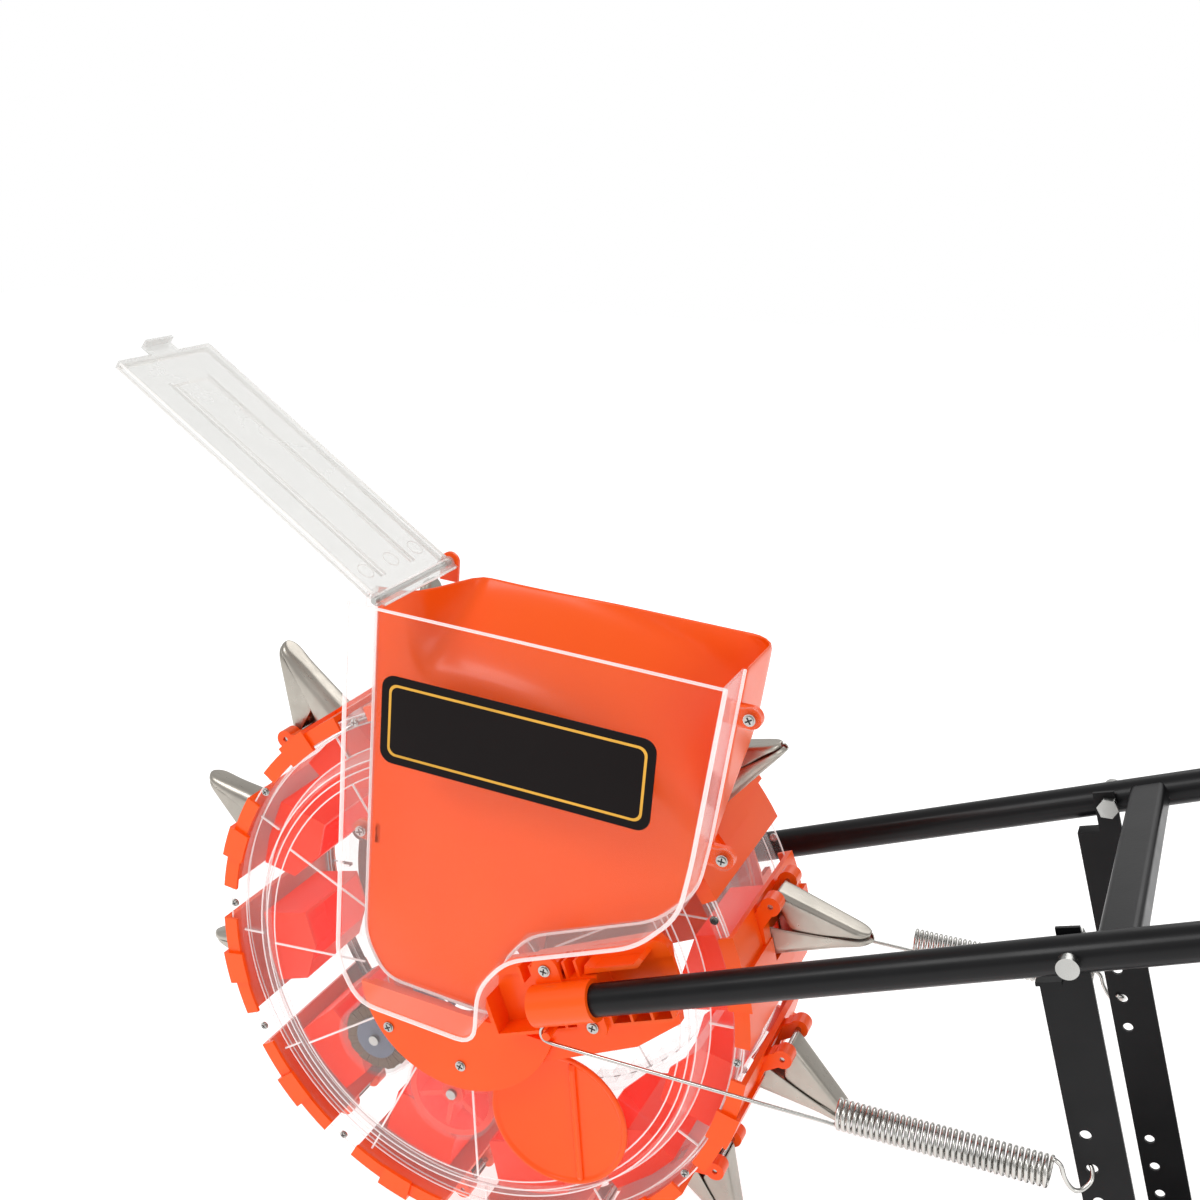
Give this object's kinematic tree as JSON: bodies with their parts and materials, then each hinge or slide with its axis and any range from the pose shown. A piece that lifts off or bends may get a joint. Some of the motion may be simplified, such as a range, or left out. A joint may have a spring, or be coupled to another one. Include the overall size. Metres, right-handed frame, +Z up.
{
  "type": "hand-push duckbill seeder",
  "caption": "Hand-pushed seed planter: clear drum ringed with duckbill beaks that open to drop seed, side hopper with a hinged lid, tube fork handle and a sprung press wheel.",
  "frame": {"origin": "drum axle centre on the drum's middle plane", "axes": "+X back towards the handle, +Y to the side away from the hopper, +Z up"},
  "size_m": [1.339, 0.265, 0.9435],
  "materials": {
    "black_tube": "gloss black powder coat",
    "black_arm": "satin black powder coat",
    "orange_plastic": "glossy moulded orange plastic",
    "orange_inner": "moulded orange plastic seen through the clear drum",
    "clear_plastic": "clear moulded plastic",
    "stainless": "folded stainless sheet",
    "bright_steel": "bright zinc-plated steel",
    "spring_steel": "bright spring wire",
    "black_label": "printed black label",
    "grip_rubber": "soft black rubber",
    "brush_hub": "blue-grey plastic",
    "bristle": "brown nylon bristles"
  },
  "bodies": {
    "frame": {"near_lower_tube": "black_tube", "far_lower_tube": "black_tube", "near_upper_tube": "black_tube", "far_upper_tube": "black_tube", "near_grip": "grip_rubber", "far_grip": "grip_rubber", "front_cross_tube": "black_tube", "top_cross_tube": "black_tube", "near_side_arm": "orange_plastic", "far_side_arm": "orange_plastic", "near_tube_clamp": "orange_plastic", "far_tube_clamp": "orange_plastic", "axle": "bright_steel", "near_hub": "orange_plastic", "near_hub_cap": "orange_plastic", "far_hub_cap": "orange_plastic", "hopper_tub": "orange_plastic", "hopper_cover": "clear_plastic", "badge_plate": "black_label", "hinge_pin": "bright_steel", "body_screws": "bright_steel", "frame_bolts": "bright_steel", "pivot_bolts": "bright_steel", "metering_housing": "clear_plastic", "roller_shafts": "bright_steel", "shaft_bracket": "bright_steel", "near_spring": "spring_steel", "far_spring": "spring_steel"},
    "drum": {"near_drum_face": "clear_plastic", "far_drum_face": "clear_plastic", "drum_rim": "clear_plastic", "ring_gear": "clear_plastic", "seed_chutes": "orange_inner", "drum_bearing": "bright_steel", "drum_screws": "bright_steel", "duckbill_bases": "orange_plastic", "fixed_beaks": "stainless", "beak_pins": "bright_steel"},
    "lid": {"lid": "clear_plastic"},
    "clean_out_door": {"clean_out_door": "orange_plastic"},
    "brush": {"brush_core": "brush_hub", "brush_bristles": "bristle"},
    "metering": {"metering_wheel": "orange_inner"},
    "swing": {"near_swing_arm": "black_arm", "far_swing_arm": "black_arm", "wheel_axle": "bright_steel", "axle_nuts": "bright_steel"},
    "press_wheel": {"press_wheel": "black_arm"},
    "beak_1": {"moving_beak_1": "stainless"},
    "beak_2": {"moving_beak_2": "stainless"},
    "beak_3": {"moving_beak_3": "stainless"},
    "beak_4": {"moving_beak_4": "stainless"},
    "beak_5": {"moving_beak_5": "stainless"},
    "beak_6": {"moving_beak_6": "stainless"},
    "beak_7": {"moving_beak_7": "stainless"},
    "beak_8": {"moving_beak_8": "stainless"},
    "beak_9": {"moving_beak_9": "stainless"},
    "beak_10": {"moving_beak_10": "stainless"},
    "beak_11": {"moving_beak_11": "stainless"},
    "beak_12": {"moving_beak_12": "stainless"}
  },
  "joints": [
    {"name": "drum_spin", "type": "hinge", "parent": "frame", "child": "drum", "pos_m": [0, 0, 0], "axis": [0, -1, 0], "continuous": true},
    {"name": "lid_hinge", "type": "hinge", "parent": "frame", "child": "lid", "pos_m": [-0.03346, -0.067, 0.29454], "axis": [0, 1, 0], "range_deg": [0, 148.8]},
    {"name": "door_turn", "type": "hinge", "parent": "drum", "child": "clean_out_door", "pos_m": [0.07265, -0.072, -0.09299], "axis": [0, -1, 0], "range_deg": [0, 25]},
    {"name": "brush_spin", "type": "hinge", "parent": "frame", "child": "brush", "pos_m": [-0.08918, 0, -0.0803], "axis": [0, -1, 0], "continuous": true},
    {"name": "metering_spin", "type": "hinge", "parent": "frame", "child": "metering", "pos_m": [-0.02339, 0, -0.11004], "axis": [0, -1, 0], "continuous": true},
    {"name": "arm_swing", "type": "hinge", "parent": "frame", "child": "swing", "pos_m": [0.4108, 0, 0.13956], "axis": [0, -1, 0], "range_deg": [-8, 25], "stiffness_Nm_per_rad": 72, "springref_deg": -2.01, "deforming": ["near_spring", "far_spring"]},
    {"name": "press_wheel_spin", "type": "hinge", "parent": "swing", "child": "press_wheel", "pos_m": [0.48664, 0, -0.20143], "axis": [0, -1, 0], "continuous": true},
    {"name": "beak_1_open", "type": "hinge", "parent": "drum", "child": "beak_1", "pos_m": [0.20966, 0, 0.08137], "axis": [0, -1, 0], "range_deg": [0, 25], "stiffness_Nm_per_rad": 0.3, "springref_deg": -11.46},
    {"name": "beak_2_open", "type": "hinge", "parent": "drum", "child": "beak_2", "pos_m": [0.14089, 0, 0.1753], "axis": [0, -1, 0], "range_deg": [0, 25], "stiffness_Nm_per_rad": 0.3, "springref_deg": -11.46},
    {"name": "beak_3_open", "type": "hinge", "parent": "drum", "child": "beak_3", "pos_m": [0.03436, 0, 0.22226], "axis": [0, -1, 0], "range_deg": [0, 25], "stiffness_Nm_per_rad": 0.3, "springref_deg": -11.46},
    {"name": "beak_4_open", "type": "hinge", "parent": "drum", "child": "beak_4", "pos_m": [-0.08137, 0, 0.20966], "axis": [0, -1, 0], "range_deg": [0, 25], "stiffness_Nm_per_rad": 0.3, "springref_deg": -11.46},
    {"name": "beak_5_open", "type": "hinge", "parent": "drum", "child": "beak_5", "pos_m": [-0.1753, 0, 0.14089], "axis": [0, -1, 0], "range_deg": [0, 25], "stiffness_Nm_per_rad": 0.3, "springref_deg": -11.46},
    {"name": "beak_6_open", "type": "hinge", "parent": "drum", "child": "beak_6", "pos_m": [-0.22226, 0, 0.03436], "axis": [0, -1, 0], "range_deg": [0, 25], "stiffness_Nm_per_rad": 0.3, "springref_deg": -11.46},
    {"name": "beak_7_open", "type": "hinge", "parent": "drum", "child": "beak_7", "pos_m": [-0.20966, 0, -0.08137], "axis": [0, -1, 0], "range_deg": [0, 25], "stiffness_Nm_per_rad": 0.3, "springref_deg": -11.46},
    {"name": "beak_8_open", "type": "hinge", "parent": "drum", "child": "beak_8", "pos_m": [-0.14089, 0, -0.1753], "axis": [0, -1, 0], "range_deg": [0, 25], "stiffness_Nm_per_rad": 0.3, "springref_deg": -11.46},
    {"name": "beak_9_open", "type": "hinge", "parent": "drum", "child": "beak_9", "pos_m": [-0.03436, 0, -0.22226], "axis": [0, -1, 0], "range_deg": [0, 25], "stiffness_Nm_per_rad": 0.3, "springref_deg": -11.46},
    {"name": "beak_10_open", "type": "hinge", "parent": "drum", "child": "beak_10", "pos_m": [0.08137, 0, -0.20966], "axis": [0, -1, 0], "range_deg": [0, 25], "stiffness_Nm_per_rad": 0.3, "springref_deg": -11.46},
    {"name": "beak_11_open", "type": "hinge", "parent": "drum", "child": "beak_11", "pos_m": [0.1753, 0, -0.14089], "axis": [0, -1, 0], "range_deg": [0, 25], "stiffness_Nm_per_rad": 0.3, "springref_deg": -11.46},
    {"name": "beak_12_open", "type": "hinge", "parent": "drum", "child": "beak_12", "pos_m": [0.22226, 0, -0.03436], "axis": [0, -1, 0], "range_deg": [0, 25], "stiffness_Nm_per_rad": 0.3, "springref_deg": -11.46}
  ],
  "couplings": [
    {"joint": "brush_spin", "follows": "drum_spin", "ratio": 5},
    {"joint": "metering_spin", "follows": "drum_spin", "ratio": 4}
  ]
}
